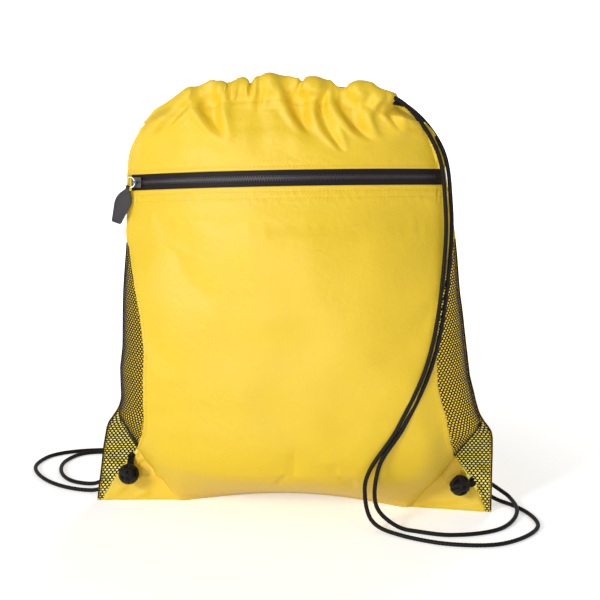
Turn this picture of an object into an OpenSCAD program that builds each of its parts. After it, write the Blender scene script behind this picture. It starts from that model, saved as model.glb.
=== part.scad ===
// Drawstring backpack: stuffed fabric body with mesh sides, zipped front pocket and two cord straps.
// Frame: X to the right, Y to the back, Z up, origin on the floor under the middle of the bag.

/* [Bag] */
// Width across the two bottom corners
bag_w = 376; // [366:2:386]
// Depth of the stuffed body from the corner plane to the front
belly_front = 66; // [62:1:70]
// Depth of the stuffed body from the corner plane to the back
belly_back = 56; // [54:1:62]
// Wall thickness of a panel with its seam bulk
fabric_t = 1.2; // [1:0.1:1.4]
// Gap between the front and back cord tunnels
mouth_gap = 14; // [10:1:16]

/* [Zipper] */
// Height of the middle of the zipper
zip_z = 322; // [318:1:326]
// Height of fabric opening that shows the zipper
zip_opening = 15; // [13:0.5:16]
// Radius of the arc that the zipper bends to around the body
zip_r = 238; // [230:2:250]
// Backward tilt of the arc's axis
zip_tilt = 12; // [8:1:14]
// Slope of the zipper, rising to the right
zip_roll = 2; // [0:0.5:3]
// Width of one tape
tape_w = 14; // [12:0.5:15]
// Distance from one coil turn to the next
coil_pitch = 2.4; // [2:0.1:3]
// Length of the slider
slider_l = 12; // [11:0.5:13]
// Width of the slider
slider_w = 9.4; // [9:0.1:10]

/* [Pull] */
// Radius of the ring to the middle of its wire
ring_r = 5; // [4.6:0.1:5.4]
// Diameter of the ring's wire
ring_wire = 1.4; // [1.2:0.1:1.5]
// Length of the pull tab from the ring to its tip
tab_l = 37; // [32:1:40]
// Width of the pull tab where it is widest
tab_w = 15; // [13:0.5:16]
// Thickness of the pull tab's rim
tab_t = 2.8; // [2.4:0.1:3.2]

/* [Cords] */
// Diameter of a cord
cord_d = 4; // [3.6:0.1:4]
// Diameter of the knot that stops a cord at its corner
knot_d = 19; // [17:0.5:20]

/* [Hidden] */
$fn = 96;

yellow = "#f2cf3c";
cloth_black = "#3a3734";
front = -1;
back = 1;
left = -1;
right = 1;

// Half width of the whole outline, corners included, at each height
outline = [[0, 188], [48, 186], [76, 183], [86, 174], [97, 169], [122, 166], [152, 162], [190, 159],
    [257, 152], [309, 145], [336, 140], [352, 131], [367, 120], [381, 109], [392, 95]];
// Half width of the stuffed body, inside the flat corner flaps
body_line = [[0, 109], [48, 148], [82, 171], [90, 172]];
// Half width of the front and back panels, up to where the mesh sides end
seam_line = [[0, 184], [15, 176], [28, 168], [38, 160], [46, 153], [60, 148], [86, 142], [126, 135],
    [160, 133], [200, 138], [222, 142], [245, 147], [256, 149]];
// Fullness of the body, as a share of the belly depth
fullness = [[0, 0.16], [5, 0.4], [10, 0.55], [16, 0.68], [25, 0.82], [40, 0.93], [60, 0.99], [120, 1],
    [200, 0.95], [270, 0.84], [310, 0.76], [340, 0.66], [355, 0.55], [370, 0.42], [384, 0.25], [396, 0.2]];
// Sideways lean of the middle of the bag
lean_line = [[0, 0], [45, 2], [80, 5], [100, 4], [130, 0], [150, 0], [250, -5], [300, -8], [375, -8],
    [392, -2], [405, 1]];

side_height = 256;     // top of the mesh sides
crown_height = 384;    // where the panels end and the cord tunnels start
crown_drop = 12;       // how much lower the crown is at the sides
back_drop = 5;         // how much lower the back crown is than the front one
roundness = 2.3;       // power of the body's rounded section
keel = 38;             // how far behind the corner plane the bottom seam is
keel_height = 50;      // height at which the body is back over the corner plane
toe = 12;              // how far the tips of the corner flaps bend forward
toe_height = 45;       // height at which the flaps are upright again
layer_gap = 0.2;       // half the gap between the front and back layers at a side seam
seam_gap = 0.3;        // half the gap between two panels along a seam
slit_half = 3.6;       // half width of the slit in a corner seam that the cord goes through
slit_reach = 8;        // height over which the slit opens and closes
slit_left = [-156, -2, 41];    // where each cord goes through its corner
slit_right = [170, -5, 27];
cord_hole = 10;        // hole in the back panel behind each slit

function eased(z, line) = (lookup(z - 5, line) + 2 * lookup(z, line) + lookup(z + 5, line)) / 4;
function ramp(x, from, to) = let (t = max(0, min(1, (x - from) / (to - from)))) t * t * (3 - 2 * t);
function lean(z) = lookup(z, lean_line);
function outer_w(z) = bag_w / 376 * eased(z, outline);
function body_w(z) = min(eased(z, body_line) * bag_w / 376 + max(0, z - 90), outer_w(z) - 1.5);
function slit_z(side) = side < 0 ? slit_left.z : slit_right.z;
function slit(side, z) = slit_half * exp(-pow((z - slit_z(side)) / slit_reach, 2));
function seam_w(z) = min(bag_w / 376 * lookup(z, seam_line), outer_w(z) - 3);

// The zipper's arc is part of a cylinder about a tilted axis through zip_centre
zip_front = 0.7 * belly_front;
zip_middle_x = -8;
zip_centre = [zip_middle_x, zip_r * cos(zip_tilt) - zip_front, zip_z - zip_r * sin(zip_tilt)];
zip_end = 36;          // half angle of the zipper
slider_rest = -35;    // angle of the slider with the zipper shut
function zip_depth(u, z) =
    (sqrt(zip_r * zip_r - u * u) - (z - zip_centre.z) * sin(zip_tilt)) / cos(zip_tilt) - zip_centre.y;
function zip_dip(u) = (sqrt(zip_r * zip_r - u * u) - zip_r) * sin(zip_tilt);
function rolled(p, a) = let (dx = p.x - zip_middle_x, dz = p.z - zip_z)
    [zip_middle_x + dx * cos(a) - dz * sin(a), p.y, zip_z + dx * sin(a) + dz * cos(a)];
function zip_point(angle, r, h) = rolled(zip_centre
    + r * [sin(angle), -cos(angle) * cos(zip_tilt), cos(angle) * sin(zip_tilt)]
    + h * [0, sin(zip_tilt), cos(zip_tilt)], zip_roll);
// 1 where the front follows the zipper's cylinder, 0 where it is free
function zip_zone(z) = ramp(z, 205, 275) * (1 - ramp(z, 345, 380));

// Depth of the body's skin at u across and z up, measured inward by inset
function body_depth(face, u, z, inset) =
    let (belly = (face < 0 ? belly_front : belly_back) * eased(z, fullness) - inset,
        half = body_w(z) - inset,
        round_depth = belly * pow(max(0, 1 - pow(abs(u) / half, roundness)), 1 / roundness),
        zone = face < 0 ? zip_zone(z) : 0)
    zone * (zip_depth(u, z) - inset) + (1 - zone) * round_depth;
// The bottom seam's middle runs behind the corner plane and the flaps' tips before it
function keel_shift(u, z) = keel * (1 - ramp(z, 0, keel_height)) * max(0, 1 - pow(u / body_w(z), 2))
    - toe * (1 - ramp(z, 0, toe_height)) * pow(2 * u / bag_w, 2);
function skin(face, u, z, inset) =
    let (least = inset > 0 ? layer_gap : layer_gap + fabric_t)
    rolled([lean(z) + u, keel_shift(u, z) + face * max(least, body_depth(face, u, z, inset)), max(z, inset)],
        zip_roll * zip_zone(z));

// Closed solid between two grids of points, outer and inner, with the same rows and columns
module sheet(outer, inner) {
    rows = len(outer);
    cols = len(outer[0]);
    count = rows * cols;
    function at(layer, i, j) = layer * count + i * cols + j;
    function quad(a, b, c, d) = [[a, b, c], [a, c, d]];
    skins = [for (i = [0:rows - 2], j = [0:cols - 2]) each concat(
        quad(at(0, i, j), at(0, i, j + 1), at(0, i + 1, j + 1), at(0, i + 1, j)),
        quad(at(1, i + 1, j), at(1, i + 1, j + 1), at(1, i, j + 1), at(1, i, j)))];
    ends = [for (j = [0:cols - 2]) each concat(
        quad(at(1, 0, j), at(1, 0, j + 1), at(0, 0, j + 1), at(0, 0, j)),
        quad(at(0, rows - 1, j), at(0, rows - 1, j + 1), at(1, rows - 1, j + 1), at(1, rows - 1, j)))];
    sides = [for (i = [0:rows - 2]) each concat(
        quad(at(0, i, 0), at(0, i + 1, 0), at(1, i + 1, 0), at(1, i, 0)),
        quad(at(1, i, cols - 1), at(1, i + 1, cols - 1), at(0, i + 1, cols - 1), at(0, i, cols - 1)))];
    polyhedron(points = concat([for (row = outer) each row], [for (row = inner) each row]),
        faces = concat(skins, ends, sides), convexity = 8);
}

function crown_sink(u) = crown_drop * pow(u / 100, 2);

// Columns across a panel from -1 to 1
function columns(n) = [for (k = [0:n]) 2 * k / n - 1];

// The back panel and the yoke reach the bag's edge; the front panel stops at the seam with the mesh sides
function to_edge(face, z) = face > 0 || z > side_height + 4;
// Half width of a panel, less its share of the seam gap and of the cord's slit
function panel_w(face, side, z) = to_edge(face, z) ? outer_w(z) : seam_w(z) - seam_gap - slit(side, z);
// Inner columns end at the crease between the body and the flat corner flaps
flap_share = 7 / 9;
function panel_u(face, c, z, inset) =
    let (w = panel_w(face, c < 0 ? left : right, z) - (to_edge(face, z) ? inset / 2 : 0),
        crease = min(body_w(z), w * (to_edge(face, z) ? 0.93 : 0.85)))
    sign(c) * (abs(c) < flap_share ? abs(c) / flap_share * crease
        : crease + (abs(c) - flap_share) / (1 - flap_share) * (w - crease));
function panel_point(face, c, z, inset) = skin(face, panel_u(face, c, z, inset), z, inset);
// The underside closes the panel down to the bottom seam
function under_point(face, c, inset) =
    let (p = panel_point(face, c, 0, inset))
    [p.x, keel_shift(p.x, 0) + face * layer_gap, inset];

panel_rows = [0, 3, 8, 15, 21, 27, 33, 38, 44, 51, 60, 72, 86, 105, 125, 150, 175, 200, 225, 245, 256,
    262, 280, 300];

module front_panel() {
    cols = columns(18);
    function rise(c, z) = z + ramp(z, 262, 308) * zip_dip(panel_u(front, c, z, 0));
    top = zip_z - zip_opening / 2 * cos(zip_tilt);
    rows = concat(panel_rows, [(300 + top) / 2, top]);
    function grid(inset) = concat(
        [[for (c = cols) under_point(front, c, inset)]],
        [for (z = rows) [for (c = cols) panel_point(front, c, rise(c, z), inset)]]);
    color(yellow) sheet(grid(0), grid(fabric_t));
}

module front_yoke() {
    cols = columns(18);
    bottom = zip_z + zip_opening / 2 * cos(zip_tilt);
    steps = 6;
    function rise(c, k) = let (t = k / steps)
        bottom + t * (crown_height - bottom) + (1 - t) * zip_dip(panel_u(front, c, bottom - 5, 0))
        - t * crown_sink(panel_u(front, c, crown_height, 0));
    function grid(inset) = [for (k = [0:steps]) [for (c = cols) panel_point(front, c, rise(c, k), inset)]];
    color(yellow) sheet(grid(0), grid(fabric_t));
}

module back_panel() {
    cols = columns(18);
    top = crown_height - back_drop;
    rows = concat(panel_rows, [318, 334, 347, 359, 369, top]);
    function rise(c, z) = z - ramp(z, 300, top) * crown_sink(panel_u(back, c, top, 0));
    function grid(inset) = concat(
        [[for (c = cols) under_point(back, c, inset)]],
        [for (z = rows) [for (c = cols) panel_point(back, c, rise(c, z), inset)]]);
    color(yellow) difference() {
        sheet(grid(fabric_t), grid(0));
        for (hole = [slit_left, slit_right])
            translate([hole.x, 0, hole.z]) rotate([90, 0, 0]) cylinder(d = cord_hole, h = 40, center = true);
    }
}

// A mesh side goes from the seam with the front panel to the bag's edge, in front of the back panel
module mesh_side(side) {
    body_steps = 5;
    flap_steps = 3;
    rows = concat([for (z = panel_rows) if (z < side_height) z], [side_height]);
    function line(z, inset) =
        let (from = seam_w(z) + seam_gap + slit(side, z),
            edge = outer_w(z) - inset / 2,
            crease = max(from + 0.5, min(body_w(z), edge - 1)))
        [for (k = [0:body_steps + flap_steps])
            let (u = k < body_steps ? from + (crease - from) * sin(90 * k / body_steps)
                : crease + (edge - crease) * (k - body_steps) / flap_steps)
            skin(front, side * u, z, inset)];
    outer = [for (z = rows) line(z, 0)];
    inner = [for (z = rows) line(z, fabric_t)];
    color(cloth_black)
        if (side > 0) sheet(outer, inner);
        else sheet(inner, outer);
}

// Cord tunnels: flat hollow tubes of gathered cloth round the mouth
tunnel_half = 88;
tunnel_h = 24;
tunnel_t = 10;
tunnel_wall = 1.6;
tunnel_y = mouth_gap / 2 + tunnel_t / 2;
function crown_z(face, u) =
    crown_height + tunnel_h / 2 + 1.5 - crown_sink(u) - (face > 0 ? back_drop : 0);

module tunnel(face) {
    stations = 14;
    sides = 12;
    function ring(u, h, t) = [for (k = [0:sides - 1])
        [1 + u, face * tunnel_y + t / 2 * cos(360 * k / sides),
            crown_z(face, u) + h / 2 * sin(360 * k / sides)]];
    function wrap(row) = concat(row, [row[0]]);
    outer = [for (i = [0:stations]) ring(tunnel_half * (2 * i / stations - 1), tunnel_h, tunnel_t)];
    inner = [for (i = [0:stations]) ring(tunnel_half * (2 * i / stations - 1),
        tunnel_h - 2 * tunnel_wall, tunnel_t - 2 * tunnel_wall)];
    color(yellow) difference() {
        tube(outer);
        tube(inner, 1);
    }
}

// Closed solid through a list of rings with the same number of points, its end rings moved out by reach
module tube(rings, reach = 0) {
    n = len(rings);
    sides = len(rings[0]);
    out_a = reach * unit(rings[0][0] - rings[1][0]);
    out_b = reach * unit(rings[n - 1][0] - rings[n - 2][0]);
    points = [for (i = [0:n - 1]) for (p = rings[i]) i == 0 ? p + out_a : i == n - 1 ? p + out_b : p];
    walls = [for (i = [0:n - 2], k = [0:sides - 1])
        let (a = i * sides + k, b = i * sides + (k + 1) % sides)
        each [[a, a + sides, b], [b, a + sides, b + sides]]];
    ends = [[for (k = [0:sides - 1]) k], [for (k = [sides - 1:-1:0]) (n - 1) * sides + k]];
    polyhedron(points = points, faces = concat(walls, ends), convexity = 12);
}
function unit(v) = v / norm(v);

lining_t = 0.6;
// The lining hangs behind the front panel and is held in the seam above the zipper
module pocket_lining() {
    cols = columns(14);
    rows = [60, 90, 125, 160, 200, 235, 265, 290, 305, 318, 330, 342, 350];
    function inset_at(z) = 3.4 + 4 * ramp(z, 285, 315) * (1 - 0.7 * ramp(z, 338, 350));
    function half_at(z) = panel_w(front, left, z) - 8 - 12 * ramp(z, 250, 290);
    function grid(extra) = [for (z = rows) [for (c = cols)
        let (inset = inset_at(z) + extra, u = c * half_at(z),
            zz = z + ramp(z, 262, 308) * zip_dip(u))
        rolled([lean(zz) + u, -max(1 - extra / 2, body_depth(front, u, zz, inset)), zz],
            zip_roll * zip_zone(zz))]];
    color("#e8cf6a") sheet(grid(0), grid(lining_t));
}

module on_zip() {
    translate([zip_middle_x, 0, zip_z]) rotate([0, -zip_roll, 0]) translate([-zip_middle_x, 0, -zip_z])
        translate(zip_centre) rotate([-zip_tilt, 0, 0]) children();
}

// Ring sector about the zipper's axis, from one angle to the other
module zip_band(r, thick, h, height, from, to) {
    on_zip() rotate([0, 0, from - 90]) rotate_extrude(angle = to - from)
        translate([r, h]) square([thick, height]);
}

tape_t = 0.8;
tape_in = fabric_t + 0.3 + tape_t;    // depth of the tape's back behind the cloth surface
tape_edge = 2.8;                      // distance of a tape's inner edge from the zipper's middle
coil_t = 2.4;                         // thickness of the coils
coil_in = tape_in - tape_t / 2 + coil_t / 2;

module zipper_tape(side) {
    low = side > 0 ? tape_edge : -tape_edge - tape_w;
    color(cloth_black) zip_band(zip_r - tape_in, tape_t, low, tape_w, -zip_end, zip_end);
}

coil_start = slider_rest + 0.2;
coil_root = tape_edge - 0.2;          // where a turn leaves the tape
coil_reach = 1.1;                     // how far a turn's head reaches past the zipper's middle
// A coil turn is a hook: its head is wider than the gap between the heads of the other half, so the
// two halves hold each other
module coil_turn() {
    neck = 0.19 * coil_pitch;
    head = 0.27 * coil_pitch;
    tip = 0.6 * head;
    linear_extrude(coil_t, center = true)
        polygon([[-neck, -coil_root], [neck, -coil_root], [neck, 0.1], [head, coil_reach / 2],
            [tip, coil_reach], [-tip, coil_reach], [-head, coil_reach / 2], [-neck, 0.1]]);
}
module zipper_coil(side) {
    step = coil_pitch / zip_r * 180 / PI;
    from = coil_start + (side > 0 ? 0.8 : 0.3) * step;
    count = floor((zip_end - from) / step);
    color("#1d1b1c")
        for (k = [0:count - 1])
            on_zip() rotate([0, 0, from + k * step]) translate([0, -zip_r + coil_in - coil_t / 2, 0])
                rotate([90, 0, 0]) mirror([0, side > 0 ? 1 : 0]) coil_turn();
}

// Slider frame: origin on the cloth surface in the middle of the slider, -Y outwards, +X to the right
module at_slider() {
    on_zip() rotate([0, 0, slider_rest]) translate([0, -zip_r, 0]) children();
}

plate_t = 1.2;
channel_t = 3;                        // clear height between the slider's two plates
plate_y = -0.8;                       // outer face of the outer plate
post_w = 2.4;
flange_w = 0.8;
flange_slot = 1.4;                    // gap between the flanges that the tape runs in

module slider_outline() {
    intersection() {
        square([slider_l, slider_w], center = true);
        circle(r = slider_l * 0.56);
    }
}

// Plate or flange laid across the slider from depth y, in its own thickness
module across(y, thick) {
    translate([0, y + thick, 0]) rotate([90, 0, 0]) linear_extrude(thick) children();
}

module slider_body() {
    inner_y = plate_y + plate_t + channel_t;
    flange_h = (channel_t - flange_slot) / 2;
    color("#4a4a4c") at_slider() {
        across(plate_y, plate_t) slider_outline();
        across(inner_y, plate_t) slider_outline();
        // Wedge-shaped post at the end that parts the coils
        across(plate_y + plate_t, channel_t)
            polygon([[-slider_l / 2 + 0.6, 0], [-3.4, post_w / 2], [-1.2, post_w / 4], [-0.6, 0],
                [-1.2, -post_w / 4], [-3.4, -post_w / 2]]);
        for (y = [plate_y + plate_t, inner_y - flange_h])
            across(y, flange_h) difference() {
                slider_outline();
                square([slider_l + 1, slider_w - 2 * flange_w], center = true);
            }
    }
}

crown_hole_r = 1.3;
crown_hole_y = -3;                    // distance of the crown's hole outside the cloth surface
crown_r = 2.2;
crown_w = 2.4;

module slider_crown() {
    foot = crown_hole_y - plate_y;
    color("#4a4a4c") at_slider() linear_extrude(crown_w, center = true) difference() {
        union() {
            translate([0, crown_hole_y]) circle(r = crown_r);
            translate([-crown_r, crown_hole_y]) square([2 * crown_r, -foot]);
            translate([-slider_l / 2 + 2, plate_y - 0.9]) square([slider_l - 4, 0.9]);
        }
        translate([0, crown_hole_y]) circle(r = crown_hole_r);
    }
}

// The ring stands upright in the crown's hole and points to the left
crown_hole = zip_point(slider_rest, zip_r - crown_hole_y, 0);
ring_centre = crown_hole - [ring_r, 0, 0];
tab_lean = 19;                        // how far the tab's tip is turned to the left
tab_top = ring_centre - ring_r * [sin(tab_lean), 0, cos(tab_lean)];

module pull_ring() {
    color("#d9dadc") translate(ring_centre) rotate([90, 0, 0]) rotate_extrude()
        translate([ring_r, 0]) circle(d = ring_wire);
}

barrel_r = 2;
barrel_w = 3.2;
barrel_bore = 1;
rim_w = 1.6;

tab_neck = 3.4;                       // from the barrel's middle to the leaf's shoulders
tab_tip_w = 9.6;
// Leaf outline from the shoulders under the barrel to the blunt tip, drawn in by inset
module tab_outline(inset) {
    least = 0.4;
    shoulder = 2.2;
    corner = 1.8;
    hull() {
        translate([0, -tab_neck]) circle(r = max(least, shoulder - inset), $fn = 24);
        translate([0, -0.42 * tab_l]) scale([1, 1.6]) circle(r = tab_w / 2 - inset, $fn = 40);
        for (side = [-1, 1])
            translate([side * (tab_tip_w / 2 - corner), 2 * corner - tab_l])
                circle(r = max(least, corner - inset), $fn = 16);
    }
}

face_recess = 0.6;                    // depth of the tab's two faces inside the rim
face_top = 6;                         // where the faces start below the barrel's middle

module pull_tab() {
    color("#2b2729") translate(tab_top) rotate([0, tab_lean, 0]) difference() {
        union() {
            rotate([0, 90, 0]) cylinder(r = barrel_r, h = barrel_w, center = true);
            rotate([90, 0, 0]) linear_extrude(tab_t, center = true) difference() {
                tab_outline(0);
                translate([-tab_w, -barrel_r]) square(2 * tab_w);
            }
            translate([-barrel_w / 2, -tab_t / 2, -tab_neck]) cube([barrel_w, tab_t, tab_neck]);
        }
        rotate([0, 90, 0]) cylinder(r = barrel_bore, h = tab_w, center = true);
        for (turn = [90, -90])
            rotate([turn, 0, 0]) translate([0, 0, tab_t / 2 - face_recess]) linear_extrude(tab_t)
                mirror([0, turn < 0 ? 1 : 0]) intersection() {
                    tab_outline(rim_w);
                    translate([-tab_w, -tab_l]) square([2 * tab_w, tab_l - face_top]);
                }
    }
}

// Cord routes, from the slit in the corner seam along both strands of the strap and back.
// Each goes through the whole mouth: in by one tunnel, round the far end and out by the other.
right_route = [[171, -5, 25], [172, 3, 24], [190, 16, 4], [217, -8, 2.1], [230, -48, 2.1],
    [194, -96, 2.1], [150, -100, 2.1], [110, -86, 2.1], [78, -68, 9], [71, -66, 40], [100, -63, 97],
    [123, -53, 147], [138, -30, 232], [139, -12, 292], [130, -7, 343], [118, -7, 364], [93, -12, 389.5],
    [60, -12, 395.4], [-60, -12, 395.4], [-84, -12, 391.2], [-98, -5, 388], [-98, 5, 385],
    [-84, 12, 386.2], [-60, 12, 390.4], [60, 12, 390.4], [93, 12, 384.5], [134, -1, 345], [144, -6, 292],
    [143, -25, 232], [128, -49, 147], [105, -61, 97], [83, -65, 58], [84, -65, 18], [106, -68, 2.1],
    [150, -78, 2.1], [196, -58, 2.1], [212, -14, 4], [203, 20, 6], [171, 4, 29], [168.5, -5, 29]];
left_route = [[-157.5, -2, 39], [-159, 6, 38], [-192, 7, 3], [-212, 10, 2.1], [-250, 35, 2.1],
    [-268, 76, 2.1], [-262, 100, 2.1], [-192, 129, 2.1], [-130, 110, 2.1], [-108, 95, 5], [-99, 83, 18],
    [-98, 72, 45], [-98, 58, 130], [-98, 53, 230], [-98, 33, 350], [-99, 23, 371], [-91, 12.6, 379.5],
    [-60, 12, 386], [60, 12, 386], [84, 12, 381.8], [98, 5, 380.5], [98, -5, 383.5], [84, -12, 386.8],
    [60, -12, 391], [-60, -12, 391], [-88, -11, 385], [-109, 10, 378], [-107, 38, 325], [-105, 49, 255],
    [-105, 56, 170], [-105, 64, 75], [-106, 77, 35], [-112, 90, 10], [-155, 114, 2.1], [-232, 110, 2.1],
    [-241, 90, 2.1], [-218, 30, 2.1], [-200, 25, 2.4], [-158, 6, 42], [-154, -2, 43]];

// A smooth curve passes each point of a route along its heading there
function gap(route, i) = norm(route[i + 1] - route[i]);
function slope(route, i) = (route[i + 1] - route[i]) / gap(route, i);
function heading(route, i) = i == 0 ? slope(route, 0) : i == len(route) - 1 ? slope(route, i - 1)
    : (slope(route, i - 1) * gap(route, i) + slope(route, i) * gap(route, i - 1))
        / (gap(route, i - 1) + gap(route, i));
function halfway(route, i) = (route[i] + route[i + 1]) / 2
    + gap(route, i) / 8 * (heading(route, i) - heading(route, i + 1));
// The route's points and the curve's points halfway between them, none with the cord below the floor
function above_floor(p) = [p.x, p.y, max(p.z, cord_d / 2)];
function curve(route) = [for (i = [0:len(route) - 1], p = i < len(route) - 1 ? [route[i], halfway(route, i)]
    : [route[i]]) above_floor(p)];

cord_sides = 8;
function side_dir(v) = unit(abs(v.z) < 0.9 * norm(v) ? cross(v, [0, 0, 1]) : cross(v, [0, 1, 0]));
function course(line, i) = line[min(i + 1, len(line) - 1)] - line[max(i - 1, 0)];
function carry(v, t) = unit(v - (v * unit(t)) * unit(t));
// Ring of points across the line at point i; first is the ring's own first direction
function ring_at(line, i, first) = let (second = cross(unit(course(line, i)), first))
    [for (k = [0:cord_sides - 1]) let (a = 360 * k / cord_sides)
        line[i] + cord_d / 2 * (cos(a) * first + sin(a) * second)];

module cord(route) {
    line = curve(route);
    rings = [for (i = 0, a = side_dir(course(line, 0)); i < len(line);
        i = i + 1, a = i < len(line) ? carry(a, course(line, i)) : a) ring_at(line, i, a)];
    color("#262325") tube(rings);
}

// Round bar of diameter d from one point to another
module bar(from, to, d) {
    v = to - from;
    translate(from) rotate([0, acos(v.z / norm(v)), atan2(v.y, v.x)]) cylinder(d = d, h = norm(v));
}

ball_left = [-156, -17, 29];
ball_right = [158, -18, 28];
// Stopper knot: two strands out of the slit, down a neck and into a ball of crossing turns
module knot(slit, ball, seam_slope) {
    turn_cord = 1.2 * cord_d;
    turn_r = (knot_d - turn_cord) / 2;
    way_out = 4;
    $fn = 24;
    color("#262325") {
        for (h = [-cord_d / 2, cord_d / 2])
            translate(slit + [h * seam_slope, -0.8, h]) rotate([90, 0, 0]) cylinder(d = cord_d, h = way_out);
        bar(slit - [0, way_out, 0], ball, 1.6 * cord_d);
        translate(ball) rotate([0, 30, 0]) {
            sphere(r = turn_r);
            rotate([12, 0, 0]) rotate_extrude() translate([turn_r, 0]) circle(d = turn_cord);
            rotate([84, 0, 35]) rotate_extrude() translate([turn_r, 0]) circle(d = turn_cord);
        }
    }
}

front_panel();
front_yoke();
back_panel();
mesh_side(left);  // mesh_side_left
mesh_side(right);  // mesh_side_right
tunnel(front);  // tunnel_front
tunnel(back);  // tunnel_back
pocket_lining();
zipper_tape(-1);  // zipper_tape_lower
zipper_tape(1);  // zipper_tape_upper
zipper_coil(-1);  // zipper_coil_lower
zipper_coil(1);  // zipper_coil_upper
slider_body();
slider_crown();
pull_ring();
pull_tab();
cord(left_route);  // drawcord_left
cord(right_route);  // drawcord_right
knot(slit_left, ball_left, 0.8);  // knot_left
knot(slit_right, ball_right, -0.6);  // knot_right
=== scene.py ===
import math
import bpy
import numpy as np
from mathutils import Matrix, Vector


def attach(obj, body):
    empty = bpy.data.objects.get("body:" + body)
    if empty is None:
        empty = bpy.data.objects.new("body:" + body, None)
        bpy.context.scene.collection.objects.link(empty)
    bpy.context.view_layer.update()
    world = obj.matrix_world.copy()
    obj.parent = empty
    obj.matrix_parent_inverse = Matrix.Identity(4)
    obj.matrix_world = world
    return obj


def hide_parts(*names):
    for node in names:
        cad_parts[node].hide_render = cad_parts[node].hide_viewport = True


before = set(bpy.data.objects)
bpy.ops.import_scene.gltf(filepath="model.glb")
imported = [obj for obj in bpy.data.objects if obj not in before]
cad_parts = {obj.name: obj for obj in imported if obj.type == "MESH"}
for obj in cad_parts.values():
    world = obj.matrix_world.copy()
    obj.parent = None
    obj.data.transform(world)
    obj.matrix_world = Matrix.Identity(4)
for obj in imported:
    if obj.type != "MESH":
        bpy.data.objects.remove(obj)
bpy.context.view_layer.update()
mm = 0.001
print("frame loaded")

camera = {"azimuth": 5.0, "elevation": 14.0, "distance": 1.6, "aim": (0.0, 0.0, 0.2),
          "lens": 103.2, "shift": (0.0108, -0.0017)}


def makeCamera():
    turn, lift = math.radians(camera["azimuth"]), math.radians(camera["elevation"])
    back = Vector((math.sin(turn) * math.cos(lift), -math.cos(turn) * math.cos(lift), math.sin(lift)))
    bpy.ops.object.camera_add(location=Vector(camera["aim"]) + back * camera["distance"])
    eye = bpy.context.object
    eye.rotation_euler = (-back).to_track_quat("-Z", "Y").to_euler()
    eye.data.lens = camera["lens"]
    eye.data.shift_x, eye.data.shift_y = camera["shift"]
    bpy.context.scene.camera = eye


makeCamera()

# Half widths and depths of the stuffed shell at each height, in millimetres. They follow the frame's
# outlines, but the shoulders are rounder and the slits narrower.
bag = {
    "outline": [(0, 188), (48, 186), (76, 183), (86, 174), (97, 169), (122, 166), (152, 162), (190, 159),
                (257, 152), (309, 147), (336, 144), (348, 140), (361, 131), (372, 122), (383, 112),
                (391, 104), (398, 92), (406, 80), (412, 60), (425, 0)],
    "bodyLine": [(0, 109), (48, 148), (82, 171), (90, 172)],
    "seamLine": [(0, 184), (15, 176), (28, 168), (38, 160), (46, 153), (60, 148), (86, 142), (126, 135),
                 (160, 133), (200, 138), (222, 142), (245, 147), (256, 149)],
    "fullness": [(0, 0.16), (5, 0.4), (10, 0.55), (16, 0.68), (25, 0.82), (40, 0.93), (60, 0.99), (120, 1),
                 (200, 0.95), (270, 0.84), (310, 0.76), (340, 0.66), (355, 0.55), (370, 0.42),
                 (384, 0.25), (396, 0.2)],
    "leanLine": [(0, 0), (45, 2), (80, 5), (100, 4), (130, 0), (150, 0), (250, -5), (300, -8), (375, -8),
                 (392, -2), (405, 1)],
    "bellyFront": 66, "bellyBack": 56, "roundness": 2.3,
    "keel": 38, "keelHeight": 50, "toe": 12, "toeHeight": 45,
    "sideTop": 256, "crown": 384, "crownDrop": 12,
    "layerGap": 0.2, "cloth": 0.4,
    "slitHalf": 2.4, "slitReach": 7, "slitLeft": (-156, 41), "slitRight": (170, 27), "cordHole": 7,
    "backDrop": 5,
}
zipper = {"height": 322, "opening": 15, "radius": 238, "tilt": 12, "roll": 2, "middle": -8,
          "tapeWidth": 16.8, "tapeEdge": 0.02, "tapeDepth": 1.9, "tapeThick": 0.8, "end": 37.3}

tilt = math.radians(zipper["tilt"])
zipFront = 0.7 * bag["bellyFront"]
zipCentre = np.array([zipper["middle"], zipper["radius"] * math.cos(tilt) - zipFront,
                      zipper["height"] - zipper["radius"] * math.sin(tilt)])


def along(z, line):
    table = np.array(line, float)
    return np.interp(z, table[:, 0], table[:, 1])


def eased(z, line, spread=6):
    return (along(z - spread, line) + 2 * along(z, line) + along(z + spread, line)) / 4


def unit(vectors):
    return vectors / np.maximum(np.linalg.norm(vectors, axis=-1, keepdims=True), 1e-9)


def runAlong(points):       # distance so far along a line, or down every column of a grid
    step = np.linalg.norm(np.diff(points, axis=0), axis=-1)
    return np.concatenate([np.zeros_like(step[:1]), step.cumsum(0)])


def ramp(x, low, high):
    t = np.clip((x - low) / (high - low), 0, 1)
    return t * t * (3 - 2 * t)


def outerHalf(z):
    return eased(z, bag["outline"])


def bodyHalf(z):
    return np.minimum(eased(z, bag["bodyLine"]) + np.maximum(0, z - 90), outerHalf(z) - 1.5)


def seamHalf(z):
    return np.minimum(eased(z, bag["seamLine"]), outerHalf(z) - 3)


def slitAt(side, z):
    height = bag["slitLeft" if side < 0 else "slitRight"][1]
    return bag["slitHalf"] * np.exp(-((z - height) / bag["slitReach"]) ** 2)


def zipZone(z):
    return ramp(z, 205, 275) * (1 - ramp(z, 345, 380))


def zipDip(u):
    return (np.sqrt(zipper["radius"] ** 2 - u * u) - zipper["radius"]) * math.sin(tilt)


def zipDepth(u, z):
    return ((np.sqrt(zipper["radius"] ** 2 - u * u) - (z - zipCentre[2]) * math.sin(tilt))
            / math.cos(tilt) - zipCentre[1])


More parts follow.
